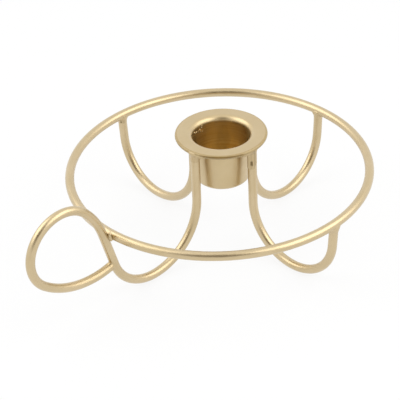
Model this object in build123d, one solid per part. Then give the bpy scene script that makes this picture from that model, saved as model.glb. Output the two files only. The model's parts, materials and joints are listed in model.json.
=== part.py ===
from build123d import *
import math
import os

# A table candle holder of bent round wire: a flanged cup on four U-shaped legs, a hoop that ties
# the legs together, and one leg that runs on into a finger loop.
# Millimetres and degrees. +Z is up and the feet stand on z = 0. The pieces are drawn about the
# hoop's middle with the finger loop along -X, and are moved together along X at the end.

# Wire of the hoop, the legs and the handle
WIRE_D = 3.5
FOOT_FLAT = 0.2            # depth of the flat that each foot stands on

# Candle cup
BORE_RADIUS = 11.0         # takes the foot of a 22 mm dinner candle
BORE_STRAIGHT = 6.0        # straight length of the bore, below the rounded mouth
SHEET = 0.8                # thickness of the pressed sheet
WALL = 0.4                 # thickness of the wall, which pressing draws thinner than the sheet
CUP_TOP = 47.0             # top of the flange above the table
CUP_HEIGHT = 20.0
CUP_TAPER = 0.8            # how much smaller the radius is at the bottom than at the mouth
CUP_FLOOR_CORNER = 1.0     # inside radius of the bottom corner
CUP_OFFSET = 1.7           # candle's axis from the hoop's middle, along -Y
LIP_RADIUS = 2.1           # rounding of the mouth, from the bore to the top of the flange
FLANGE_BEND = 1.0          # radius in the corner under the flange
FLANGE_OVERHANG = 0.2      # how far the flange reaches past the legs

# Hoop
HOOP_RADIUS = 58.0         # to the middle of the wire
HOOP_HEIGHT = 29.6         # middle of the wire above the table

# Legs
CUP_LEG_GAP = 2.65         # from the straight cup wall to the wire
OUTER_BEND = 19.4          # radius of the outer half of the U, to the middle of the wire
LEG_LEAN = 4.5             # how far a plain leg's outer arm leans out from upright, degrees
HANDLE_LEAN = 16.0         # the same for the handle's leg, which passes outside the hoop
# The legs are set by hand, so each has its own turn round the candle's axis and round the hoop's
# middle, in degrees from +X.
LEG_TURNS = {
    "handle": (185.0, 181.0),
    "right": (-88.9, -89.0),
    "opposite": (-2.5, 0.0),
    "left": (90.5, 87.5),
}

# Finger loop
CREST_RADIUS = 32.0        # easy bend from the leg into the round end, to the middle of the wire
LOOP_RADIUS = 15.0         # round end, to the middle of the wire
LOOP_STANDOFF = 1.75       # from the line of the leaning leg to the round end's circle
LOOP_CLIMB = 9.8           # middle of the round end, measured up the leaning leg from the hoop
LOOP_TURN = 139.5          # turn of the round end past its top, degrees
TIP_DROP = 13.5            # where the tip meets the leg, degrees below the middle of the outer bend
TIP_GAP = 0.8              # from the cut tip to the leg, filled by its weld

# Welds
WELD_GAP = 0.3             # between two wires that a weld joins
WELD_SPREAD = 0.4          # how far a bead stands out beyond the wire
WELD_LAP = 1.2             # how far a bead between leg and cup laps onto each

wire_radius = WIRE_D / 2
foot_height = wire_radius - FOOT_FLAT
cup_wall_radius = BORE_RADIUS + WALL
arm_radius = cup_wall_radius + CUP_LEG_GAP + wire_radius
flange_radius = arm_radius + wire_radius + FLANGE_OVERHANG
flange_under = CUP_TOP - 2 * SHEET
handle_pass = HOOP_RADIUS + WIRE_D + WELD_GAP
bead_radius = wire_radius + WELD_SPREAD
candle_axis = Vector(0, -CUP_OFFSET)


def candle_cup():
    """One pressed sheet: bottom, thin tapered wall, straight mouth and a flange that is folded back
    flat under itself, so that it is two sheets thick with a round edge."""
    bottom = CUP_TOP - CUP_HEIGHT
    floor = bottom + SHEET
    straight_end = CUP_TOP - LIP_RADIUS - BORE_STRAIGHT
    bottom_radius = cup_wall_radius - CUP_TAPER
    edge_radius = flange_radius - SHEET
    outside = FilletPolyline(
        (0, bottom),
        (bottom_radius, bottom),
        (cup_wall_radius, straight_end),
        (cup_wall_radius, flange_under),
        (edge_radius, flange_under),
        radius=[CUP_FLOOR_CORNER + SHEET, 0, FLANGE_BEND],
    )
    edge = ThreePointArc(
        (edge_radius, flange_under),
        (flange_radius, CUP_TOP - SHEET),
        (edge_radius, CUP_TOP),
    )
    inside = FilletPolyline(
        (edge_radius, CUP_TOP),
        (BORE_RADIUS, CUP_TOP),
        (BORE_RADIUS, straight_end),
        (bottom_radius - WALL, floor),
        (0, floor),
        radius=[LIP_RADIUS, 0, CUP_FLOOR_CORNER],
    )
    axis_line = Line((0, floor), (0, bottom))
    section = make_face([outside, edge, inside, axis_line])
    return Pos(candle_axis) * revolve(Plane.XZ * section, Axis.Z)


def around(radius, turn):
    """Point at a radius and a turn from +X, seen from above."""
    return Vector(radius, 0).rotate(Axis.Z, turn)


def leg_plane(cup_turn, hoop_point):
    """Upright plane of a leg, which starts at the leg's inner arm, and how far out it passes the hoop."""
    start = candle_axis + around(arm_radius, cup_turn)
    outward = hoop_point - start
    return Plane(start, x_dir=outward, z_dir=outward.cross(Axis.Z.direction)), outward.length


def leg_curves(span, lean_angle):
    """Inner arm and U bend of a leg, seen from the side. The leaning outer arm passes the hoop's
    height at a distance of span from the inner arm."""
    lean = math.radians(lean_angle)
    bend_end = foot_height + OUTER_BEND * (1 - math.sin(lean))
    bend_span = span - (HOOP_HEIGHT - bend_end) * math.tan(lean)
    inner_bend = bend_span - OUTER_BEND * math.cos(lean)
    arm = Line((0, flange_under), (0, foot_height + inner_bend))
    inner = JernArc(arm @ 1, arm % 1, inner_bend, 90)
    outer = JernArc(inner @ 1, inner % 1, OUTER_BEND, 90 - lean_angle)
    return [arm, inner, outer]


def bent_wire(plane, curves):
    """Round wire along curves drawn in a plane, with the foot cut flat."""
    path = plane * Wire(curves)
    section = Plane(path @ 0, z_dir=path % 0) * Circle(wire_radius)
    return split(sweep(section, path=path), Plane.XY, keep=Keep.TOP)


def plain_leg(cup_turn, hoop_point):
    """U-bent leg, cut off square just under the hoop."""
    plane, span = leg_plane(cup_turn, hoop_point)
    curves = leg_curves(span, LEG_LEAN)
    lean = math.radians(LEG_LEAN)
    stop = wire_radius + WELD_GAP
    end = (span - stop * math.sin(lean), HOOP_HEIGHT - stop * math.cos(lean))
    return bent_wire(plane, curves + [Line(curves[-1] @ 1, end)])


def handle_curves(span):
    """Leg and finger loop in one wire: past the hoop, over, round and back to the leg."""
    curves = leg_curves(span, HANDLE_LEAN)
    outer = curves[-1]
    upward = outer % 1
    outward = Vector(upward.Y, -upward.X)
    passing = Vector(span, HOOP_HEIGHT)
    loop_middle = passing + upward * LOOP_CLIMB + outward * (LOOP_RADIUS + LOOP_STANDOFF)
    # The crest touches the leaning leg, and it touches the round end's circle from outside it.
    aside = CREST_RADIUS - LOOP_RADIUS - LOOP_STANDOFF
    below = math.sqrt((CREST_RADIUS - LOOP_RADIUS) ** 2 - aside ** 2)
    post = Line(outer @ 1, passing + upward * (LOOP_CLIMB - below))
    crest_middle = post @ 1 + outward * CREST_RADIUS
    crest_turn = (post @ 1 - crest_middle).get_angle(loop_middle - crest_middle)
    crest = JernArc(post @ 1, post % 1, CREST_RADIUS, -crest_turn)
    to_top = 90 - HANDLE_LEAN - crest_turn
    loop = JernArc(crest @ 1, crest % 1, LOOP_RADIUS, -to_top - LOOP_TURN)
    drop = math.radians(TIP_DROP)
    tip_distance = OUTER_BEND + wire_radius + TIP_GAP
    tip = outer.arc_center + Vector(math.cos(drop), -math.sin(drop)) * tip_distance
    tail = TangentArc(loop @ 1, tip, tangent=loop % 1)
    return curves + [post, crest, loop, tail]


def bead(place, height, size=bead_radius):
    """Round blank of a weld, before the pieces that it joins are cut out of it."""
    return Pos(place.X, place.Y, height) * Sphere(size)


cup = candle_cup()
# No weld reaches inside the cup's wall.
cup_core = Cylinder(cup_wall_radius, CUP_TOP, align=(Align.CENTER, Align.CENTER, Align.MIN))
cup_and_core = cup + Pos(candle_axis) * cup_core
hoop = Pos(0, 0, HOOP_HEIGHT) * Torus(HOOP_RADIUS, wire_radius)


def cup_weld(cup_turn, leg):
    """Bead under the flange that fills the gap from the cup's wall to a leg."""
    half_gap = CUP_LEG_GAP / 2
    place = candle_axis + around(cup_wall_radius + half_gap, cup_turn)
    return bead(place, flange_under - wire_radius, half_gap + WELD_LAP) - cup_and_core - leg


pieces = {"candle_cup": cup, "hoop": hoop}
for side in ("right", "opposite", "left"):
    cup_turn, hoop_turn = LEG_TURNS[side]
    hoop_point = around(HOOP_RADIUS, hoop_turn)
    leg = plain_leg(cup_turn, hoop_point)
    pieces[f"leg_{side}"] = leg
    pieces[f"cup_weld_{side}"] = cup_weld(cup_turn, leg)
    pieces[f"hoop_weld_{side}"] = bead(hoop_point, HOOP_HEIGHT - wire_radius) - hoop - leg

cup_turn, hoop_turn = LEG_TURNS["handle"]
plane, span = leg_plane(cup_turn, around(handle_pass, hoop_turn))
curves = handle_curves(span)
handle_leg = bent_wire(plane, curves)
pass_point = around((HOOP_RADIUS + handle_pass) / 2, hoop_turn)
tip = curves[-1] @ 1
tip_point = plane.from_local_coords((tip.X - TIP_GAP / 2, tip.Y))
pieces["handle_leg"] = handle_leg
pieces["cup_weld_handle"] = cup_weld(cup_turn, handle_leg)
pieces["hoop_weld_handle"] = bead(pass_point, HOOP_HEIGHT) - hoop - handle_leg
pieces["handle_tip_weld"] = bead(tip_point, tip_point.Z) - handle_leg

# The holder's length, from the finger loop to the far side of the hoop, is centred on the origin.
whole = Compound(list(pieces.values())).bounding_box()
centred = Pos(-whole.center().X, 0, 0)

os.makedirs("parts", exist_ok=True)
for name, piece in pieces.items():
    export_step(centred * piece, f"parts/{name}.step")
    print(name, len(piece.solids()), round(piece.volume, 1))
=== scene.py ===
import json
import math

import bpy
from mathutils import Matrix, Vector


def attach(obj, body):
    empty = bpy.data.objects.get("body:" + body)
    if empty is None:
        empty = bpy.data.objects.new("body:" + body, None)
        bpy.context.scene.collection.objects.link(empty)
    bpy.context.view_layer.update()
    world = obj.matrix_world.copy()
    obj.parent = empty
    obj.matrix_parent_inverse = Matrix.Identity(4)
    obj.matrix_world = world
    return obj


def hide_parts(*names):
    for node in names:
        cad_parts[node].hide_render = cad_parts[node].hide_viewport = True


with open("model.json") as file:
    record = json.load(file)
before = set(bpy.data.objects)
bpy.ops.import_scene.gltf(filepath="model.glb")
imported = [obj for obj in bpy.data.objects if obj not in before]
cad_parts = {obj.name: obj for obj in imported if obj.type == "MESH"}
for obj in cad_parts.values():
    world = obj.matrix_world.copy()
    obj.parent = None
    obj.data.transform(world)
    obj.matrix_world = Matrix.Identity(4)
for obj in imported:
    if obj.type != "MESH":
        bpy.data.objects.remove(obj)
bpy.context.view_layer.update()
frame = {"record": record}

# Sizes in millimetres and degrees, as the part has them
MM = 0.001
WIRE_RADIUS = 1.75
FOOT_FLAT = 0.2
BORE_RADIUS = 11.0
BORE_STRAIGHT = 6.0
SHEET = 0.8
WALL = 0.4
CUP_TOP = 47.0
CUP_HEIGHT = 20.0
CUP_TAPER = 0.8
CUP_FLOOR_CORNER = 1.0
CUP_OFFSET = 1.7
LIP_RADIUS = 2.1
FLANGE_BEND = 1.0
FLANGE_RADIUS = 17.75
HOOP_RADIUS = 58.0
HOOP_HEIGHT = 29.6
ARM_RADIUS = 15.8
OUTER_BEND = 19.4
LEG_LEAN = 4.5
HANDLE_LEAN = 16.0
# Each leg's turn round the candle's axis and round the hoop's middle, from +X
LEG_TURNS = {
    "handle": (185.0, 181.0),
    "right": (-88.9, -89.0),
    "opposite": (-2.5, 0.0),
    "left": (90.5, 87.5),
}
CREST_RADIUS = 32.0
LOOP_RADIUS = 15.0
LOOP_STANDOFF = 1.75
LOOP_CLIMB = 9.8
LOOP_TURN = 139.5
TIP_DROP = 13.5
TIP_GAP = 0.8
WELD_GAP = 0.3

# The wall's taper starts in a long easy bend, so no crease rings the inside of the cup.
TAPER_BEND = 60.0

# How finely the pieces are divided
BEND_STEP = 45.0
STEPS_PER_BEND = 14
WIRE_SIDES = 40
CUP_SIDES = 160
CUP_STEPS = 320
WELD_VOXEL = 0.13

foot_height = WIRE_RADIUS - FOOT_FLAT
flange_under = CUP_TOP - 2 * SHEET
handle_pass = HOOP_RADIUS + 2 * WIRE_RADIUS + WELD_GAP
socket = next(m for m in frame["record"]["mounts"] if m["name"] == "candle_socket")
candle_axis = Vector((socket["pos_m"][0], socket["pos_m"][1], 0)) / MM
hoop_middle = candle_axis + Vector((0, CUP_OFFSET, 0))
UP = Vector((0, 0, 1))

# Camera: where the picture was taken from, in degrees and millimetres about the candle's foot
CAMERA_AZIMUTH = -43.94
CAMERA_ELEVATION = 33.98
CAMERA_ROLL = -2.53
CAMERA_DISTANCE = 691.8
CAMERA_LENS = 157.05
AIM_RIGHT = -9.758
AIM_UP = 12.94

azimuth, elevation, roll = (math.radians(v) for v in (CAMERA_AZIMUTH, CAMERA_ELEVATION, CAMERA_ROLL))
level = Vector((math.cos(azimuth), math.sin(azimuth), 0))
front = Vector((math.sin(azimuth), -math.cos(azimuth), 0))
back = front * math.cos(elevation) + UP * math.sin(elevation)
rise = back.cross(level)
right = level * math.cos(roll) + rise * math.sin(roll)
above = rise * math.cos(roll) - level * math.sin(roll)


def add(tree, kind, links=None, **settings):
    """Add a node with its settings, and link or set its inputs."""
    node = tree.nodes.new(kind)
    for name, value in settings.items():
        setattr(node, name, value)
    for name, source in (links or {}).items():
        if isinstance(source, bpy.types.NodeSocket):
            tree.links.new(source, node.inputs[name])
        else:
            node.inputs[name].default_value = source
    return node


def linear(hex_colour):
    """Linear RGBA of an sRGB hex colour."""
    parts = [int(hex_colour[i:i + 2], 16) / 255 for i in (1, 3, 5)]
    return [c / 12.92 if c <= 0.04045 else ((c + 0.055) / 1.055) ** 2.4 for c in parts] + [1.0]


def per_mm(size):
    """Noise scale, per metre, at which one lump of the pattern is about this many millimetres."""
    return 1 / (size * MM)


# Sizes of the patterns in the finishes, in millimetres
CLOUD_SIZE = 11.0
MIST_SIZE = 4.0
DRAWN_LINE_SIZE = 0.45
WIRE_PEEL_SIZE = 0.8
RING_SIZE = 0.7
SHEET_PEEL_SIZE = 0.9
FROZEN_SIZE = 0.7
# How many times as long as wide a drawn line is, and the share of the way across the cup that a ring strays
DRAWN_LINE_STRETCH = 50.0
RING_WANDER = 0.04
# Painted shade line along the flange's round edge, from underneath, and how far ahead of the candle's axis it
# shows
SHADE_LINE_START = 1.35
SHADE_LINE_END = 1.85
SHADE_LINE_FRONT_START = 15.2
SHADE_LINE_FRONT_END = 16.2


def gold_lacquer(name, pale, deep, smooth, dull):
    """Metal under a thin gold lacquer: cloudy between two golds and between a smooth and a dull patch.
    Returns the material, its tree and shader, and the place in the piece, for the marks that each
    piece's making leaves."""
    material = bpy.data.materials.new(name)
    material.use_nodes = True
    tree = material.node_tree
    shader = tree.nodes["Principled BSDF"]
    shader.inputs["Metallic"].default_value = 1.0
    shader.inputs["Coat Weight"].default_value = 0.5
    shader.inputs["Coat Roughness"].default_value = 0.2
    here = add(tree, "ShaderNodeTexCoord").outputs["Object"]
    cloud = add(tree, "ShaderNodeTexNoise", {"Vector": here, "Scale": per_mm(CLOUD_SIZE), "Detail": 3.0})
    tint = add(tree, "ShaderNodeValToRGB", {"Fac": cloud.outputs["Fac"]})
    tint.color_ramp.elements[0].position = 0.32
    tint.color_ramp.elements[0].color = linear(deep)
    tint.color_ramp.elements[1].position = 0.68
    tint.color_ramp.elements[1].color = linear(pale)
    tree.links.new(tint.outputs["Color"], shader.inputs["Base Color"])
    mist = add(tree, "ShaderNodeTexNoise", {"Vector": here, "Scale": per_mm(MIST_SIZE), "Detail": 2.0})
    haze = add(tree, "ShaderNodeMapRange", {
        "Value": mist.outputs["Fac"], "From Min": 0.3, "From Max": 0.7, "To Min": smooth, "To Max": dull})
    tree.links.new(haze.outputs[0], shader.inputs["Roughness"])
    return material, tree, shader, here


def drawn_wire():
    """Steel wire drawn through a die and lacquered: fine lines run along it, so its long highlights
    are slightly streaked. The lines are drawn wider than the die leaves them, so that they show."""
    material, tree, shader, here = gold_lacquer(
        "satin gold lacquer on drawn steel wire", "#D2BE98", "#CAB68E", 0.32, 0.38)
    along = add(tree, "ShaderNodeAttribute", attribute_name="along").outputs["Fac"]
    round_wire = add(tree, "ShaderNodeAttribute", attribute_name="round").outputs["Vector"]
    way = add(tree, "ShaderNodeSeparateXYZ", {0: round_wire})
    stretched = add(tree, "ShaderNodeMath", {0: along, 1: 1 / DRAWN_LINE_STRETCH}, operation="MULTIPLY")
    spot = add(tree, "ShaderNodeCombineXYZ", {
        "X": way.outputs["X"], "Y": way.outputs["Y"], "Z": stretched.outputs[0]})
    lines = add(tree, "ShaderNodeTexNoise", {
        "Vector": spot.outputs[0], "Scale": per_mm(DRAWN_LINE_SIZE), "Detail": 2.0})
    peel = add(tree, "ShaderNodeTexNoise", {"Vector": here, "Scale": per_mm(WIRE_PEEL_SIZE), "Detail": 2.0})
    both = add(tree, "ShaderNodeMath", {0: lines.outputs["Fac"], 1: peel.outputs["Fac"]})
    bump = add(tree, "ShaderNodeBump", {"Strength": 0.06, "Distance": 0.02 * MM, "Height": both.outputs[0]})
    tree.links.new(bump.outputs[0], shader.inputs["Normal"])
    return material


def stretch(tree, along, start, end, soft):
    """Share that is 1 between two lengths along a section and fades to 0 at both ends, in millimetres."""
    rising = add(tree, "ShaderNodeMapRange", {
        "Value": along, "From Min": (start - soft / 2) * MM, "From Max": (start + soft / 2) * MM})
    falling = add(tree, "ShaderNodeMapRange", {
        "Value": along, "From Min": (end - soft / 2) * MM, "From Max": (end + soft / 2) * MM,
        "To Min": 1.0, "To Max": 0.0})
    share = add(tree, "ShaderNodeMath", {0: rising.outputs[0], 1: falling.outputs[0]}, operation="MULTIPLY")
    return share.outputs[0]


def pressed_sheet(edge_start, lip_start, inside_start, inside_end):
    """Steel sheet pressed to a cup and lacquered: the tool leaves faint rings round the wall and the
    flange, drawn wider than they are, so that they show. The stretched lip and the folded edge are
    duller. The round edge is painted a darker gold as painted shade, with a dark painted shade line
    along its lower part in front, and the inside of the cup is painted a more saturated gold as
    painted bounce light. The places are lengths along the section."""
    material, tree, shader, here = gold_lacquer(
        "satin gold lacquer on pressed steel sheet", "#CFBA90", "#C9B387", 0.34, 0.44)
    shader.inputs["Coat Weight"].default_value = 0.8
    along = add(tree, "ShaderNodeAttribute", attribute_name="along").outputs["Fac"]
    wander = add(tree, "ShaderNodeVectorMath", {
        0: here, 1: (RING_WANDER, RING_WANDER, 0.0)}, operation="MULTIPLY")
    ring = add(tree, "ShaderNodeCombineXYZ", {"Z": along})
    spot = add(tree, "ShaderNodeVectorMath", {0: wander.outputs[0], 1: ring.outputs[0]})
    rings = add(tree, "ShaderNodeTexNoise", {
        "Vector": spot.outputs[0], "Scale": per_mm(RING_SIZE), "Detail": 2.0})
    # Painted bounce light: inside the cup the gold is painted more saturated, for the light that reflects
    # between its walls; the rings from the tool vary it
    inside_bounce_gold = add(tree, "ShaderNodeValToRGB", {"Fac": rings.outputs["Fac"]})
    inside_bounce_gold.color_ramp.elements[0].position = 0.3
    inside_bounce_gold.color_ramp.elements[0].color = linear("#CBAF74")
    inside_bounce_gold.color_ramp.elements[1].position = 0.7
    inside_bounce_gold.color_ramp.elements[1].color = linear("#D9C188")
    inside = stretch(tree, along, inside_start, inside_end, 1.4)
    with_bounce_gold = add(tree, "ShaderNodeMix", {
        0: inside, 6: shader.inputs["Base Color"].links[0].from_socket, 7: inside_bounce_gold.outputs["Color"]},
        data_type="RGBA")
    edge = stretch(tree, along, edge_start + 0.3, edge_start + math.pi * SHEET, 0.4)
    # Painted shade: the flange's round edge is painted a darker gold, which holds back its highlight
    edge_shaded = add(tree, "ShaderNodeMix", {0: edge, 6: with_bounce_gold.outputs[2], 7: linear("#BBA678")}, data_type="RGBA")
    # Painted shade: a dark line along the lower part of the flange's round edge, in front only
    low_edge_shade = stretch(tree, along, edge_start + SHADE_LINE_START, edge_start + SHADE_LINE_END, 0.3)
    ahead = add(tree, "ShaderNodeVectorMath", {0: here, 1: front}, operation="DOT_PRODUCT")
    axis_ahead = candle_axis.dot(front)
    near_front = add(tree, "ShaderNodeMapRange", {
        "Value": ahead.outputs["Value"],
        "From Min": (axis_ahead + SHADE_LINE_FRONT_START) * MM, "From Max": (axis_ahead + SHADE_LINE_FRONT_END) * MM})
    front_edge_shade = add(tree, "ShaderNodeMath", {0: low_edge_shade, 1: near_front.outputs[0]}, operation="MULTIPLY")
    with_shade_line = add(tree, "ShaderNodeMix", {
        0: front_edge_shade.outputs[0], 6: edge_shaded.outputs[2], 7: linear("#94783F")}, data_type="RGBA")
    tree.links.new(with_shade_line.outputs[2], shader.inputs["Base Color"])
    haze = shader.inputs["Roughness"].links[0].from_socket
    dull = add(tree, "ShaderNodeMath", {0: edge, 1: 0.35, 2: haze}, operation="MULTIPLY_ADD")
    lip = stretch(tree, along, lip_start + 0.5, inside_start, 0.8)
    dull = add(tree, "ShaderNodeMath", {0: lip, 1: 0.03, 2: dull.outputs[0]}, operation="MULTIPLY_ADD")
    tree.links.new(dull.outputs[0], shader.inputs["Roughness"])
    peel = add(tree, "ShaderNodeTexNoise", {"Vector": here, "Scale": per_mm(SHEET_PEEL_SIZE), "Detail": 2.0})
    both = add(tree, "ShaderNodeMath", {0: rings.outputs["Fac"], 1: peel.outputs["Fac"]})
    bump = add(tree, "ShaderNodeBump", {"Strength": 0.12, "Distance": 0.05 * MM, "Height": both.outputs[0]})
    tree.links.new(bump.outputs[0], shader.inputs["Normal"])
    return material


def weld_bead(name, smooth, dull):
    """Weld metal under the same lacquer: rippled as it froze, so its light is broken up, with dark painted
    shade in its pits and toes."""
    material, tree, shader, here = gold_lacquer(name, "#D1BD96", "#C8B38A", smooth, dull)
    pit = add(tree, "ShaderNodeAttribute", attribute_name="hollow").outputs["Fac"]
    # Painted shade: the hollow attribute darkens the pits and the toes of lumps
    pit_and_toe_shade = add(tree, "ShaderNodeMix", {
        0: pit, 6: shader.inputs["Base Color"].links[0].from_socket, 7: linear("#66501F")}, data_type="RGBA")
    tree.links.new(pit_and_toe_shade.outputs[2], shader.inputs["Base Color"])
    frozen = add(tree, "ShaderNodeTexNoise", {"Vector": here, "Scale": per_mm(FROZEN_SIZE), "Detail": 2.0})
    bump = add(tree, "ShaderNodeBump", {
        "Strength": 0.15, "Distance": 0.06 * MM, "Height": frozen.outputs["Fac"]})
    tree.links.new(bump.outputs[0], shader.inputs["Normal"])
    return material


def link(made):
    bpy.context.scene.collection.objects.link(made)
    return made


def bend_path(start, heading, steps):
    """Bezier points of a path that is bent as wire is: (length, None) runs straight on and
    (radius, turn) bends by that turn, to the left where it is positive."""
    place = Vector(start)
    angle = math.radians(heading)
    points = [[place.copy(), place.copy(), place.copy()]]
    for size, turn in steps:
        pieces = 1 if turn is None else math.ceil(abs(turn) / BEND_STEP)
        for _ in range(pieces):
            way = Vector((math.cos(angle), math.sin(angle)))
            if turn is None:
                handle = size / 3
                place = place + way * size
            else:
                part = math.radians(turn) / pieces
                side = math.copysign(1, turn)
                handle = 4 / 3 * math.tan(abs(part) / 4) * size
                middle = place + Vector((-way.y, way.x)) * size * side
                place = middle + Matrix.Rotation(part, 2) @ (place - middle)
                angle += part
            points[-1][2] = points[-1][0] + way * handle
            way = Vector((math.cos(angle), math.sin(angle)))
            points.append([place.copy(), place - way * handle, place.copy()])
    return points


def path_object(name, points, place, closed=False):
    """Curve object of flat Bezier points, put where place says."""
    curve = bpy.data.curves.new(name, "CURVE")
    curve.dimensions = "3D"
    spline = curve.splines.new("BEZIER")
    if closed:
        points[0][1] = points[-1][1]
        points = points[:-1]
    spline.bezier_points.add(len(points) - 1)
    spline.use_cyclic_u = closed
    spline.resolution_u = STEPS_PER_BEND
    for knot, (middle, before, after) in zip(spline.bezier_points, points):
        knot.handle_left_type = knot.handle_right_type = "FREE"
        knot.co = place(middle) * MM
        knot.handle_left = place(before) * MM
        knot.handle_right = place(after) * MM
    return link(bpy.data.objects.new(name, curve))


def around(middle, radius, turn):
    """Point at a radius and a turn from +X, seen from above."""
    angle = math.radians(turn)
    return middle + Vector((math.cos(angle), math.sin(angle), 0)) * radius


def leg_place(cup_turn, hoop_point):
    """How a leg's flat path is set up in space, and how far out it passes the hoop."""
    start = around(candle_axis, ARM_RADIUS, cup_turn)
    outward = hoop_point - start
    across = outward.normalized()
    return lambda p: start + across * p.x + UP * p.y, outward.length


def leg_steps(span, lean_angle):
    """Inner arm and U bend of a leg, and where its outer arm starts."""
    lean = math.radians(lean_angle)
    bend_end = foot_height + OUTER_BEND * (1 - math.sin(lean))
    bend_span = span - (HOOP_HEIGHT - bend_end) * math.tan(lean)
    inner_bend = bend_span - OUTER_BEND * math.cos(lean)
    arm = flange_under - foot_height - inner_bend
    return [(arm, None), (inner_bend, 90), (OUTER_BEND, 90 - lean_angle)], inner_bend, bend_end


def plain_leg_path(side):
    cup_turn, hoop_turn = LEG_TURNS[side]
    place, span = leg_place(cup_turn, around(hoop_middle, HOOP_RADIUS, hoop_turn))
    steps, _, bend_end = leg_steps(span, LEG_LEAN)
    post = (HOOP_HEIGHT - bend_end) / math.cos(math.radians(LEG_LEAN)) - WIRE_RADIUS - WELD_GAP
    points = bend_path((0, flange_under), -90, steps + [(post, None)])
    return path_object("path_leg_" + side, points, place)


def handle_path():
    """Leg and finger loop in one wire, and its tip's last stretch as far as the middle of the leg."""
    cup_turn, hoop_turn = LEG_TURNS["handle"]
    place, span = leg_place(cup_turn, around(hoop_middle, handle_pass, hoop_turn))
    steps, inner_bend, bend_end = leg_steps(span, HANDLE_LEAN)
    lean = math.radians(HANDLE_LEAN)
    aside = CREST_RADIUS - LOOP_RADIUS - LOOP_STANDOFF
    below = math.sqrt((CREST_RADIUS - LOOP_RADIUS) ** 2 - aside ** 2)
    crest_turn = math.degrees(math.atan2(below, aside))
    post = (HOOP_HEIGHT - bend_end) / math.cos(lean) + LOOP_CLIMB - below
    to_top = 90 - HANDLE_LEAN - crest_turn
    steps += [(post, None), (CREST_RADIUS, -crest_turn), (LOOP_RADIUS, -to_top - LOOP_TURN)]
    loop_end = bend_path((0, flange_under), -90, steps)[-1][0]
    drop = math.radians(TIP_DROP)
    down = Vector((math.cos(drop), -math.sin(drop)))
    tip = Vector((inner_bend, foot_height + OUTER_BEND)) + down * (OUTER_BEND + WIRE_RADIUS + TIP_GAP)
    left = tip - loop_end
    turned = Matrix.Rotation(math.radians(LOOP_TURN), 2) @ left
    tail_turn = 2 * math.atan2(turned.y, turned.x)
    tail_radius = left.length / (2 * abs(math.sin(tail_turn / 2)))
    steps.append((tail_radius, math.degrees(tail_turn)))
    points = bend_path((0, flange_under), -90, steps)
    before = tip + (points[-1][1] - tip).normalized() * WIRE_RADIUS
    stretch_ends = [place(p) for p in (before, tip, tip - down * (WIRE_RADIUS + TIP_GAP))]
    return path_object("path_handle", points, place), stretch_ends


def hoop_path():
    points = bend_path((HOOP_RADIUS, 0), 90, [(HOOP_RADIUS, 360)])
    return path_object("path_hoop", points, lambda p: hoop_middle + Vector((p.x, p.y, HOOP_HEIGHT)), True)


def cup_steps():
    """Bends of the pressed sheet's section, from the middle of the bottom round to the middle of the
    floor, and how far along it the flange's edge, the lip and the inside start and the inside ends."""
    bottom = CUP_TOP - CUP_HEIGHT
    straight_end = CUP_TOP - LIP_RADIUS - BORE_STRAIGHT
    wall = BORE_RADIUS + WALL
    taper = math.atan2(CUP_TAPER, straight_end - bottom)
    taper_turn = math.degrees(taper)
    # Each bend takes up this much of the straight runs beside it.
    ease = TAPER_BEND * math.tan(taper / 2)
    corner = math.tan((math.pi / 2 - taper) / 2)
    outer_corner = CUP_FLOOR_CORNER + SHEET
    slope = (straight_end - bottom) / math.cos(taper)
    inner_slope = (straight_end - bottom - SHEET) / math.cos(taper)
    inner_taper = (straight_end - bottom - SHEET) * math.tan(taper)
    steps = [
        (wall - CUP_TAPER - outer_corner * corner, None),
        (outer_corner, 90 - taper_turn),
        (slope - outer_corner * corner - ease, None),
        (TAPER_BEND, taper_turn),
        (flange_under - FLANGE_BEND - straight_end - ease, None),
        (FLANGE_BEND, -90),
        (FLANGE_RADIUS - SHEET - wall - FLANGE_BEND, None),
        (SHEET, 180),
        (FLANGE_RADIUS - SHEET - BORE_RADIUS - LIP_RADIUS, None),
        (LIP_RADIUS, 90),
        (BORE_STRAIGHT - ease, None),
        (TAPER_BEND, -taper_turn),
        (inner_slope - CUP_FLOOR_CORNER * corner - ease, None),
        (CUP_FLOOR_CORNER, taper_turn - 90),
        (BORE_RADIUS - inner_taper - CUP_FLOOR_CORNER * corner, None),
    ]
    lengths = [size if turn is None else size * math.radians(abs(turn)) for size, turn in steps]
    edge = steps.index((SHEET, 180))
    lip = steps.index((LIP_RADIUS, 90))
    return steps, [sum(lengths[:count]) for count in (edge, lip, lip + 1, len(steps))]


def cup_section(steps):
    points = bend_path((0, CUP_TOP - CUP_HEIGHT), 0, steps)
    return path_object("path_cup", points, lambda p: Vector((p.x, 0, p.y)))


def flange_middle():
    """Middle of the flange's thickness, as far as its round edge: the sheet that the legs are welded to."""
    height = CUP_TOP - SHEET
    inner = BORE_RADIUS + LIP_RADIUS
    points = bend_path((inner, height), 0, [(FLANGE_RADIUS - SHEET - inner, None)])
    return path_object("path_flange", points, lambda p: Vector((p.x, 0, p.y)))


def edges_object(name, pairs):
    """Loose edges between pairs of points."""
    mesh = bpy.data.meshes.new(name)
    points = [Vector(p) * MM for pair in pairs for p in pair]
    mesh.from_pydata(points, [(i, i + 1) for i in range(0, len(points), 2)], [])
    return link(bpy.data.objects.new(name, mesh))


def new_tree(name, inputs):
    """Geometry tree with a geometry input, named inputs and a geometry output."""
    tree = bpy.data.node_groups.new(name, "GeometryNodeTree")
    tree.interface.new_socket("Geometry", in_out="INPUT", socket_type="NodeSocketGeometry")
    for label, kind in inputs.items():
        tree.interface.new_socket(label, in_out="INPUT", socket_type="NodeSocket" + kind)
    tree.interface.new_socket("Geometry", in_out="OUTPUT", socket_type="NodeSocketGeometry")
    return tree, tree.nodes.new("NodeGroupInput").outputs


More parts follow.
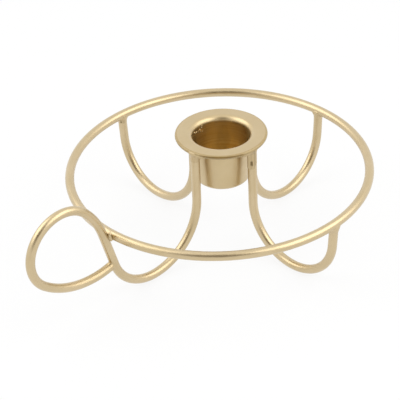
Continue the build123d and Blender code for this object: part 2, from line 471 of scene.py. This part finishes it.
def end_tree(tree, geometry, material):
    """Close a tree with its material and its output."""
    whole = add(tree, "GeometryNodeRealizeInstances", {"Geometry": geometry})
    painted = add(tree, "GeometryNodeSetMaterial", {"Geometry": whole.outputs[0], "Material": material})
    add(tree, "NodeGroupOutput", {"Geometry": painted.outputs[0]})


def grow(base, tree, values, name):
    """Plain mesh object of what a tree makes from a base object."""
    modifier = base.modifiers.new(tree.name, "NODES")
    modifier.node_group = tree
    for item in tree.interface.items_tree:
        if item.in_out == "INPUT" and item.name in values:
            modifier[item.identifier] = values[item.name]
    base.update_tag()
    evaluated = base.evaluated_get(bpy.context.evaluated_depsgraph_get())
    mesh = bpy.data.meshes.new_from_object(evaluated)
    base.modifiers.remove(modifier)
    mesh.name = name
    return link(bpy.data.objects.new(name, mesh))


def wire_tree():
    """Round wire along a path, with what lies under the table cut off flat."""
    tree, given = new_tree("bent wire", {"Wire radius": "Float", "Sides": "Int", "Finish": "Material"})
    along = add(tree, "GeometryNodeSplineParameter")
    path = add(tree, "GeometryNodeStoreNamedAttribute", {
        "Geometry": given["Geometry"], "Name": "along", "Value": along.outputs["Length"]})
    ring = add(tree, "GeometryNodeCurvePrimitiveCircle", {
        "Resolution": given["Sides"], "Radius": given["Wire radius"]})
    place = add(tree, "GeometryNodeInputPosition")
    ring = add(tree, "GeometryNodeStoreNamedAttribute", {
        "Geometry": ring.outputs["Curve"], "Name": "round"}, data_type="FLOAT_VECTOR")
    tree.links.new(place.outputs[0], ring.inputs["Value"])
    swept = add(tree, "GeometryNodeCurveToMesh", {
        "Curve": path.outputs[0], "Profile Curve": ring.outputs[0], "Fill Caps": True})
    above = add(tree, "ShaderNodeVectorMath", {0: place.outputs[0], 1: (-10, -10, 0)}, operation="MAXIMUM")
    flat = add(tree, "GeometryNodeSetPosition", {"Geometry": swept.outputs[0], "Position": above.outputs[0]})
    corners = add(tree, "GeometryNodeInputMeshFaceNeighbors")
    side = add(tree, "FunctionNodeCompare", {2: corners.outputs["Vertex Count"], 3: 5},
               data_type="INT", operation="LESS_THAN")
    smooth = add(tree, "GeometryNodeSetShadeSmooth", {
        "Geometry": flat.outputs[0], "Selection": side.outputs[0], "Shade Smooth": True})
    end_tree(tree, smooth.outputs[0], given["Finish"])
    return tree


def lathe_tree():
    """Section drawn as a curve, turned about the upright line through a point."""
    tree, given = new_tree("pressed cup", {
        "Axis": "Vector", "Sides": "Int", "Steps": "Int", "Finish": "Material"})
    grid = add(tree, "GeometryNodeMeshGrid", {
        "Size X": 1.0, "Size Y": 1.0, "Vertices X": given["Steps"], "Vertices Y": given["Sides"]})
    spot = add(tree, "ShaderNodeSeparateXYZ", {0: add(tree, "GeometryNodeInputPosition").outputs[0]})
    share = add(tree, "ShaderNodeMath", {0: spot.outputs["X"], 1: 0.5})
    length = add(tree, "GeometryNodeCurveLength", {"Curve": given["Geometry"]})
    along = add(tree, "ShaderNodeMath", {0: share.outputs[0], 1: length.outputs[0]}, operation="MULTIPLY")
    marked = add(tree, "GeometryNodeStoreNamedAttribute", {
        "Geometry": grid.outputs["Mesh"], "Name": "along", "Value": along.outputs[0]})
    section = add(tree, "GeometryNodeSampleCurve", {
        "Curves": given["Geometry"], "Factor": share.outputs[0]}, mode="FACTOR", use_all_curves=True)
    turn = add(tree, "ShaderNodeMath", {0: spot.outputs["Y"], 1: 2 * math.pi}, operation="MULTIPLY")
    turned = add(tree, "ShaderNodeVectorRotate", {
        "Vector": section.outputs["Position"], "Angle": turn.outputs[0]}, rotation_type="Z_AXIS")
    placed = add(tree, "ShaderNodeVectorMath", {0: turned.outputs[0], 1: given["Axis"]})
    shell = add(tree, "GeometryNodeSetPosition", {
        "Geometry": marked.outputs[0], "Position": placed.outputs[0]})
    merged = add(tree, "GeometryNodeMergeByDistance", {"Geometry": shell.outputs[0], "Distance": 0.01 * MM})
    outward = add(tree, "GeometryNodeFlipFaces", {"Mesh": merged.outputs[0]})
    smooth = add(tree, "GeometryNodeSetShadeSmooth", {"Geometry": outward.outputs[0], "Shade Smooth": True})
    end_tree(tree, smooth.outputs[0], given["Finish"])
    return tree


# Weld metal, in millimetres, and where its skin sinks, in shares of the weld's reach
SKIN_STANDS = 0.07
SKIN_SINKS = 1.0
SINK_START = 0.4
SINK_END = 0.8
PIT_RIM = 0.15
WAVE_SIZE = 1.1
CEILING_EDGE = 0.3
# Depth in a pit, and distances from a lump's toe, over which painted shade darkens the weld
PIT_SHADE_DEPTH = 0.16
TOE_START = 0.05
TOE_END = 0.35
EASING_ROUNDS = 4


def weld_tree():
    """Weld metal where two pieces meet: one skin over both that fills the corner between them and sinks
    under the bare pieces away from it, with lumps and pits. Pits and the toes of lumps are marked for painted
    shade."""
    parts = ("First", "Second", "Lumps", "Pits")
    tree, given = new_tree("weld metal", {
        **{part: "Object" for part in parts}, **{part + " radius": "Float" for part in parts},
        "Fillet": "Float", "Toe": "Float", "Toe shade": "Float", "Ripple": "Float", "Ceiling": "Float",
        "Middle": "Vector", "Reach": "Float", "Voxels": "Int", "Finish": "Material"})
    place = add(tree, "GeometryNodeInputPosition").outputs[0]
    skin = {}
    for part in parts:
        piece = add(tree, "GeometryNodeObjectInfo", {"Object": given[part]}, transform_space="ORIGINAL")
        edges = add(tree, "GeometryNodeCurveToMesh", {"Curve": piece.outputs["Geometry"]})
        near = add(tree, "GeometryNodeProximity", {
            "Geometry": edges.outputs[0], "Sample Position": place}, target_element="EDGES")
        skin[part] = add(tree, "ShaderNodeMath", {
            0: near.outputs["Distance"], 1: given[part + " radius"]}, operation="SUBTRACT").outputs[0]
    joined = add(tree, "ShaderNodeMath", {
        0: skin["First"], 1: skin["Second"], 2: given["Fillet"]}, operation="SMOOTH_MIN")
    away = add(tree, "ShaderNodeVectorMath", {0: place, 1: given["Middle"]}, operation="DISTANCE")
    near_edge = add(tree, "ShaderNodeMath", {0: given["Reach"], 1: SINK_START}, operation="MULTIPLY")
    far_edge = add(tree, "ShaderNodeMath", {0: given["Reach"], 1: SINK_END}, operation="MULTIPLY")
    sink = add(tree, "ShaderNodeMapRange", {
        "Value": away.outputs["Value"], "From Min": near_edge.outputs[0], "From Max": far_edge.outputs[0],
        "To Min": -SKIN_STANDS * MM, "To Max": SKIN_SINKS * MM}, interpolation_type="SMOOTHSTEP")
    sunk = add(tree, "ShaderNodeMath", {0: joined.outputs[0], 1: sink.outputs[0]})
    lumpy = add(tree, "ShaderNodeMath", {
        0: sunk.outputs[0], 1: skin["Lumps"], 2: given["Toe"]}, operation="SMOOTH_MIN")
    hollow = add(tree, "ShaderNodeMath", {0: skin["Pits"], 1: -1.0}, operation="MULTIPLY")
    pitted = add(tree, "ShaderNodeMath", {
        0: lumpy.outputs[0], 1: hollow.outputs[0], 2: PIT_RIM * MM}, operation="SMOOTH_MAX")
    waves = add(tree, "ShaderNodeTexNoise", {"Vector": place, "Scale": per_mm(WAVE_SIZE), "Detail": 1.0})
    wave = add(tree, "ShaderNodeMath", {0: waves.outputs["Fac"], 1: 0.5}, operation="SUBTRACT")
    ripple = add(tree, "ShaderNodeMath", {0: wave.outputs[0], 1: given["Ripple"]}, operation="MULTIPLY")
    rough = add(tree, "ShaderNodeMath", {0: pitted.outputs[0], 1: ripple.outputs[0]})
    height = add(tree, "ShaderNodeSeparateXYZ", {0: place})
    over = add(tree, "ShaderNodeMath", {0: height.outputs["Z"], 1: given["Ceiling"]}, operation="SUBTRACT")
    under = add(tree, "ShaderNodeMath", {
        0: rough.outputs[0], 1: over.outputs[0], 2: CEILING_EDGE * MM}, operation="SMOOTH_MAX")
    density = add(tree, "ShaderNodeMath", {
        0: under.outputs[0], 1: -1 / MM, 2: 0.5}, operation="MULTIPLY_ADD")
    corner = add(tree, "ShaderNodeCombineXYZ", {
        "X": given["Reach"], "Y": given["Reach"], "Z": given["Reach"]})
    low = add(tree, "ShaderNodeVectorMath", {0: given["Middle"], 1: corner.outputs[0]}, operation="SUBTRACT")
    high = add(tree, "ShaderNodeVectorMath", {0: given["Middle"], 1: corner.outputs[0]})
    cube = add(tree, "GeometryNodeVolumeCube", {
        "Density": density.outputs[0], "Min": low.outputs[0], "Max": high.outputs[0],
        "Resolution X": given["Voxels"], "Resolution Y": given["Voxels"], "Resolution Z": given["Voxels"]})
    mesh = add(tree, "GeometryNodeVolumeToMesh", {"Volume": cube.outputs[0], "Threshold": 0.5})
    # Painted shade: pits and the toes of lumps are marked dark through the hollow attribute
    deep = add(tree, "ShaderNodeMapRange", {
        "Value": lumpy.outputs[0], "From Min": -PIT_SHADE_DEPTH * MM, "From Max": 0.0,
        "To Min": 1.0, "To Max": 0.0})
    off_piece = add(tree, "ShaderNodeMath", {0: joined.outputs[0]}, operation="ABSOLUTE")
    off_lump = add(tree, "ShaderNodeMath", {0: skin["Lumps"]}, operation="ABSOLUTE")
    off_toe = add(tree, "ShaderNodeMath", {
        0: off_piece.outputs[0], 1: off_lump.outputs[0]}, operation="MAXIMUM")
    toe = add(tree, "ShaderNodeMapRange", {
        "Value": off_toe.outputs[0], "From Min": TOE_START * MM, "From Max": TOE_END * MM,
        "To Min": given["Toe shade"], "To Max": 0.0})
    pit_and_toe_shade = add(tree, "ShaderNodeMath", {0: deep.outputs[0], 1: toe.outputs[0]}, operation="MAXIMUM")
    marked = add(tree, "GeometryNodeStoreNamedAttribute", {
        "Geometry": mesh.outputs[0], "Name": "hollow", "Value": pit_and_toe_shade.outputs[0]})
    calm = add(tree, "GeometryNodeBlurAttribute", {
        "Value": place, "Iterations": EASING_ROUNDS}, data_type="FLOAT_VECTOR")
    eased = add(tree, "GeometryNodeSetPosition", {
        "Geometry": marked.outputs[0], "Position": calm.outputs[0]})
    smooth = add(tree, "GeometryNodeSetShadeSmooth", {"Geometry": eased.outputs[0], "Shade Smooth": True})
    end_tree(tree, smooth.outputs[0], given["Finish"])
    return tree


def dress(piece, slot, *nodes):
    """Put a finished piece in its CAD nodes' place."""
    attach(piece, "root")
    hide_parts(*nodes)


section, section_places = cup_steps()
wire_gold = drawn_wire()
cup_gold = pressed_sheet(*section_places)
weld_gold = weld_bead("satin gold lacquer over weld metal", 0.32, 0.40)
# The welds under the flange are ground, which leaves them duller.
ground_gold = weld_bead("satin gold lacquer over ground weld metal", 0.50, 0.58)

paths = {"hoop": hoop_path()}
paths["handle_leg"], tip_stretch = handle_path()
for side in ("right", "opposite", "left"):
    paths["leg_" + side] = plain_leg_path(side)
wires = wire_tree()
wire_values = {"Wire radius": WIRE_RADIUS * MM, "Sides": WIRE_SIDES, "Finish": wire_gold}
for node, path in paths.items():
    dress(grow(path, wires, wire_values, "gold_" + node), "gold_wire", node)

lathe = lathe_tree()
cup_path = cup_section(section)
cup_values = {"Axis": candle_axis * MM, "Sides": CUP_SIDES + 1, "Steps": CUP_STEPS, "Finish": cup_gold}
dress(grow(cup_path, lathe, cup_values, "gold_candle_cup"), "gold_cup", "candle_cup")
flange_path = flange_middle()
flange = grow(flange_path, lathe, {**cup_values, "Steps": 24}, "flange_middle")

welds = weld_tree()


def weld(node, first, second, middle, reach, second_radius=WIRE_RADIUS, fillet=2.0, toe=0.5, toe_shade=0.0,
         ripple=0.03, ceiling=CUP_TOP, lumps=(), lump_radius=0.9, pits=(), pit_radius=0.4, finish=weld_gold):
    """Weld metal at a joint, in millimetres. Lumps and pits are pairs of points that they run between.
    A lump's toe is the corner that it meets the pieces in, and toe shade says how dark the painted shade is
    there."""
    aside = ((0, 0, -1000), (0, 0, -1001))
    base = edges_object("weld_base", [])
    lump_edges = edges_object("weld_lumps", lumps or [aside])
    pit_edges = edges_object("weld_pits", pits or [aside])
    piece = grow(base, welds, {
        "First": first, "Second": second, "Lumps": lump_edges, "Pits": pit_edges,
        "First radius": WIRE_RADIUS * MM, "Second radius": second_radius * MM,
        "Lumps radius": lump_radius * MM, "Pits radius": pit_radius * MM,
        "Fillet": fillet * MM, "Toe": toe * MM, "Toe shade": toe_shade, "Ripple": ripple * MM,
        "Ceiling": ceiling * MM, "Middle": Vector(middle) * MM, "Reach": reach * MM,
        "Voxels": round(2 * reach / WELD_VOXEL), "Finish": finish}, "gold_" + node)
    for used in (base, lump_edges, pit_edges):
        bpy.data.objects.remove(used)
    dress(piece, "gold_weld", node)


def run(start, *moves):
    """Point reached from a start by pairs of a direction and a length."""
    return start + sum((way * length for way, length in moves), Vector())


def hoop_joint(side):
    """Where a plain leg meets the underside of the hoop."""
    return around(hoop_middle, HOOP_RADIUS, LEG_TURNS[side][1]) + UP * (HOOP_HEIGHT - WIRE_RADIUS)


# The legs' welds to the hoop: a clean one, one with a broad corner and a smear, and one with a pit
weld("hoop_weld_right", paths["leg_right"], paths["hoop"], hoop_joint("right"), 5.0, fillet=3.0)
joint = hoop_joint("opposite")
inward = -around(Vector(), 1, LEG_TURNS["opposite"][1])
along_hoop = inward.cross(UP)
corner_bead = (run(joint, (along_hoop, 2.0), (UP, 0.3)), run(joint, (along_hoop, 1.3), (UP, -1.1)))
smear = (run(joint, (inward, 1.3), (UP, 0.9), (along_hoop, 1.2)),
         run(joint, (inward, 1.3), (UP, 1.1), (along_hoop, -0.8)))
weld("hoop_weld_opposite", paths["leg_opposite"], paths["hoop"], joint, 5.5, toe=1.0,
     lumps=[corner_bead, smear], lump_radius=0.7)
joint = hoop_joint("left")
drops = [run(joint, (level, aside), (UP, rise_by), (front, 1.6))
         for aside, rise_by in ((-0.4, 0.2), (0.5, -0.5), (-0.35, -0.6))]
hole = run(drops[-1], (front, 0.6))
weld("hoop_weld_left", paths["leg_left"], paths["hoop"], joint, 5.5, toe=0.2, toe_shade=0.3,
     lumps=[(drop, run(drop, (level, 0.15))) for drop in drops], lump_radius=0.5,
     pits=[(hole, run(hole, (UP, -0.2)))], pit_radius=0.4)

# The handle lies against the hoop, with a short upright bead in the corner, and its tip ends on the leg.
outward = around(Vector(), 1, LEG_TURNS["handle"][1])
along_hoop = UP.cross(outward)
joint = around(hoop_middle, (HOOP_RADIUS + handle_pass) / 2, LEG_TURNS["handle"][1]) + UP * HOOP_HEIGHT
bead = run(joint, (outward, 0.2), (along_hoop, 1.6), (UP, 0.6))
bead_ends = (run(bead, (UP, 1.2), (outward, 0.3)), run(bead, (UP, -1.3), (outward, -0.2)))
weld("hoop_weld_handle", paths["handle_leg"], paths["hoop"], joint, 4.5, fillet=1.0, toe=0.15,
     toe_shade=0.7, ripple=0.01, lumps=[bead_ends], lump_radius=0.75)
stub = edges_object("tip_stub", list(zip(tip_stretch, tip_stretch[1:])))
weld("handle_tip_weld", paths["handle_leg"], stub, (tip_stretch[1] + tip_stretch[2]) / 2, 5.0,
     second_radius=WIRE_RADIUS - 0.3, fillet=0.6, ripple=0.0)
bpy.data.objects.remove(stub)

# Each leg is welded up to the flange, with beads across to the cup's wall. On the two front legs weld
# metal also runs along the flange's edge, between these turns from the leg.
CUP_BEAD_RADIUS = 0.85
EDGE_BEAD_TURNS = {"handle": (1, 6, 11, 16), "right": (-18, -13, -8, -3)}
for side, (cup_turn, _) in LEG_TURNS.items():
    path = paths["handle_leg" if side == "handle" else "leg_" + side]
    top = around(candle_axis, ARM_RADIUS, cup_turn) + UP * flange_under
    lumps = []
    for below in (0.9, 2.4):
        height = UP * (flange_under - below)
        lumps.append((around(candle_axis, BORE_RADIUS + WALL + CUP_BEAD_RADIUS - 0.15, cup_turn) + height,
                      around(candle_axis, ARM_RADIUS - WIRE_RADIUS, cup_turn) + height))
    edge = [around(candle_axis, FLANGE_RADIUS - 0.7, cup_turn + turn) + UP * (flange_under + 0.3)
            for turn in EDGE_BEAD_TURNS.get(side, ())]
    lumps += zip(edge, edge[1:])
    pits = []
    if side == "right":
        # A raised bead down the front of this leg froze with a long pit in it.
        for aside in (-1.1, 0.1):
            lumps.append((run(top, (front, 1.3), (level, aside), (UP, -0.6)),
                          run(top, (front, 1.3), (level, aside), (UP, -7.0))))
        hole = [run(top, (front, ahead), (level, -0.4), (UP, -below))
                for ahead, below in ((3.1, 2.9), (2.45, 4.3), (2.45, 5.6), (3.1, 7.0))]
        pits += zip(hole, hole[1:])
    middle_below, reach, toe_shade = (3.0, 8.0, 0.5) if pits else (0.8, 6.5, 0.0)
    weld("cup_weld_" + side, path, flange, run(top, (UP, -middle_below)), reach, SHEET - 0.03, fillet=1.5,
         toe=0.3, toe_shade=toe_shade, ceiling=CUP_TOP - 0.2, lumps=lumps, lump_radius=CUP_BEAD_RADIUS,
         pits=pits, pit_radius=0.6, finish=ground_gold)


def spatter_tree():
    """Small drops of weld metal scattered over a patch of a round wall."""
    tree, given = new_tree("weld spatter", {
        "Axis": "Vector", "Wall": "Float", "Turn": "Float", "Spread": "Float", "Low": "Float",
        "High": "Float", "Smallest": "Float", "Largest": "Float", "Count": "Int", "Seed": "Int",
        "Finish": "Material"})
    chance = {}
    for name, low, high in (("turn", -1.0, 1.0), ("height", given["Low"], given["High"]),
                            ("size", given["Smallest"], given["Largest"])):
        seed = add(tree, "ShaderNodeMath", {0: given["Seed"], 1: float(len(chance))})
        drawn = add(tree, "FunctionNodeRandomValue", {2: low, 3: high, "Seed": seed.outputs[0]})
        chance[name] = drawn.outputs[1]
    turn = add(tree, "ShaderNodeMath", {
        0: chance["turn"], 1: given["Spread"], 2: given["Turn"]}, operation="MULTIPLY_ADD")
    spot = add(tree, "ShaderNodeCombineXYZ", {"X": given["Wall"], "Z": chance["height"]})
    turned = add(tree, "ShaderNodeVectorRotate", {
        "Vector": spot.outputs[0], "Angle": turn.outputs[0]}, rotation_type="Z_AXIS")
    placed = add(tree, "ShaderNodeVectorMath", {0: turned.outputs[0], 1: given["Axis"]})
    points = add(tree, "GeometryNodePoints", {"Count": given["Count"], "Position": placed.outputs[0]})
    drop = add(tree, "GeometryNodeMeshIcoSphere", {"Radius": 1.0, "Subdivisions": 3})
    drops = add(tree, "GeometryNodeInstanceOnPoints", {
        "Points": points.outputs[0], "Instance": drop.outputs["Mesh"], "Scale": chance["size"]})
    whole = add(tree, "GeometryNodeRealizeInstances", {"Geometry": drops.outputs[0]})
    smooth = add(tree, "GeometryNodeSetShadeSmooth", {"Geometry": whole.outputs[0], "Shade Smooth": True})
    end_tree(tree, smooth.outputs[0], given["Finish"])
    return tree


# Drops that burnt through to the inside of the cup, behind the left leg's weld
spatter_base = edges_object("spatter_base", [])
spatter = grow(spatter_base, spatter_tree(), {
    "Axis": candle_axis * MM, "Wall": BORE_RADIUS * MM, "Turn": math.radians(LEG_TURNS["left"][0] + 8),
    "Spread": math.radians(16), "Low": 42.4 * MM, "High": 45.0 * MM, "Smallest": 0.12 * MM,
    "Largest": 0.38 * MM, "Count": 14, "Seed": 4, "Finish": weld_gold}, "gold_weld_spatter")
bpy.data.objects.remove(spatter_base)
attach(spatter, "root")

for used in [*paths.values(), cup_path, flange_path, flange]:
    bpy.data.objects.remove(used)

eye = candle_axis + right * AIM_RIGHT + above * AIM_UP + back * CAMERA_DISTANCE
camera = link(bpy.data.objects.new("camera", bpy.data.cameras.new("camera")))
camera.data.lens = CAMERA_LENS
camera.data.sensor_width = 36.0
camera.matrix_world = Matrix.Translation(eye * MM) @ Matrix((right, above, back)).transposed().to_4x4()
bpy.context.scene.camera = camera

FLOOR_HALF = 3000.0
FLOOR_BELOW = 0.05
FLOOR_GLOW = 0.86


def floor_white():
    """Matt white table that keeps only a faint shadow for the eye and for what mirrors it."""
    material = bpy.data.materials.new("matt white table")
    material.use_nodes = True
    tree = material.node_tree
    tree.nodes.clear()
    matt = add(tree, "ShaderNodeBsdfDiffuse", {"Color": linear("#E6E6E6")})
    glow = add(tree, "ShaderNodeEmission", {"Color": (1, 1, 1, 1), "Strength": 1.0})
    ray = add(tree, "ShaderNodeLightPath")
    seen = add(tree, "ShaderNodeMath", {0: ray.outputs["Is Camera Ray"], 1: ray.outputs["Is Glossy Ray"]})
    seen = add(tree, "ShaderNodeMath", {0: seen.outputs[0], 1: ray.outputs["Is Transmission Ray"]})
    share = add(tree, "ShaderNodeMath", {
        0: seen.outputs[0], 1: FLOOR_GLOW}, operation="MULTIPLY", use_clamp=True)
    mix = add(tree, "ShaderNodeMixShader", {0: share.outputs[0], 1: matt.outputs[0], 2: glow.outputs[0]})
    add(tree, "ShaderNodeOutputMaterial", {"Surface": mix.outputs[0]})
    return material


def white_floor():
    mesh = bpy.data.meshes.new("floor")
    half = FLOOR_HALF * MM
    around_floor = ((-half, -half), (half, -half), (half, half), (-half, half))
    mesh.from_pydata([(x, y, -FLOOR_BELOW * MM) for x, y in around_floor], [], [(0, 1, 2, 3)])
    mesh.materials.append(floor_white())
    return link(bpy.data.objects.new("floor", mesh))


white_floor()

# The tent's dark opening, in degrees right of the camera and up from the table
OPENING_TURN = -6.0
OPENING_LIFT = 42.0
OPENING_HALF_WIDTH = 34.0
OPENING_HALF_HEIGHT = 36.0
# Shares of the opening's half width and half height between which the dark fades into the white cloth
OPENING_CORE = 0.55
OPENING_RIM = 1.15


def light_tent():
    """White tent all round, open and darker towards the camera."""
    world = bpy.data.worlds.new("light tent")
    world.use_nodes = True
    tree = world.node_tree
    tree.nodes.clear()
    way = add(tree, "ShaderNodeTexCoord").outputs["Generated"]
    ahead = add(tree, "ShaderNodeVectorMath", {0: way, 1: front}, operation="DOT_PRODUCT")
    aside = add(tree, "ShaderNodeVectorMath", {0: way, 1: level}, operation="DOT_PRODUCT")
    high = add(tree, "ShaderNodeSeparateXYZ", {0: way})
    turn = add(tree, "ShaderNodeMath", {
        0: aside.outputs["Value"], 1: ahead.outputs["Value"]}, operation="ARCTAN2")
    lift = add(tree, "ShaderNodeMath", {0: high.outputs["Z"]}, operation="ARCSINE")
    offsets = []
    for angle, middle, half in ((turn, OPENING_TURN, OPENING_HALF_WIDTH),
                                (lift, OPENING_LIFT, OPENING_HALF_HEIGHT)):
        offsets.append(add(tree, "ShaderNodeMapRange", {
            "Value": angle.outputs[0], "From Min": math.radians(middle - half),
            "From Max": math.radians(middle + half), "To Min": -1.0, "To Max": 1.0}, clamp=False).outputs[0])
    spot = add(tree, "ShaderNodeCombineXYZ", {"X": offsets[0], "Y": offsets[1]})
    off = add(tree, "ShaderNodeVectorMath", {0: spot.outputs[0]}, operation="LENGTH")
    cloth = add(tree, "ShaderNodeMapRange", {
        "Value": off.outputs["Value"], "From Min": OPENING_CORE, "From Max": OPENING_RIM},
        interpolation_type="SMOOTHSTEP")
    ray = add(tree, "ShaderNodeLightPath")
    share = add(tree, "ShaderNodeMath", {
        0: cloth.outputs[0], 1: ray.outputs["Is Camera Ray"]}, operation="MAXIMUM")
    colour = add(tree, "ShaderNodeMix", {
        0: share.outputs[0], 6: linear("#5A4C3A"), 7: (1, 1, 1, 1)}, data_type="RGBA")
    glow = add(tree, "ShaderNodeBackground", {"Color": colour.outputs[2], "Strength": 1.0})
    add(tree, "ShaderNodeOutputWorld", {"Surface": glow.outputs[0]})
    return world


bpy.context.scene.world = light_tent()

SOFTBOX_DISTANCE = 700.0


def softbox(name, turn, lift, width, height, brightness):
    """Oblong lamp that looks at the holder from a turn right of the camera and a lift above the table,
    as many degrees wide and high as given and this much brighter than the tent behind it."""
    far = SOFTBOX_DISTANCE * MM
    a = math.radians(turn)
    e = math.radians(lift)
    way = (front * math.cos(a) + level * math.sin(a)) * math.cos(e) + UP * math.sin(e)
    lamp = bpy.data.lights.new(name, "AREA")
    lamp.shape = "RECTANGLE"
    lamp.size = 2 * far * math.tan(math.radians(width / 2))
    lamp.size_y = 2 * far * math.tan(math.radians(height / 2))
    lamp.energy = brightness * math.pi * lamp.size * lamp.size_y
    made = link(bpy.data.objects.new(name, lamp))
    made.location = hoop_middle * MM + way * far
    made.rotation_mode = "QUATERNION"
    made.rotation_quaternion = way.to_track_quat("Z", "Y")


softbox("softbox_left", -92, 46, 54, 44, 1.3)
softbox("softbox_right", 70, 44, 58, 46, 1.5)

bpy.context.scene.view_settings.view_transform = "Standard"
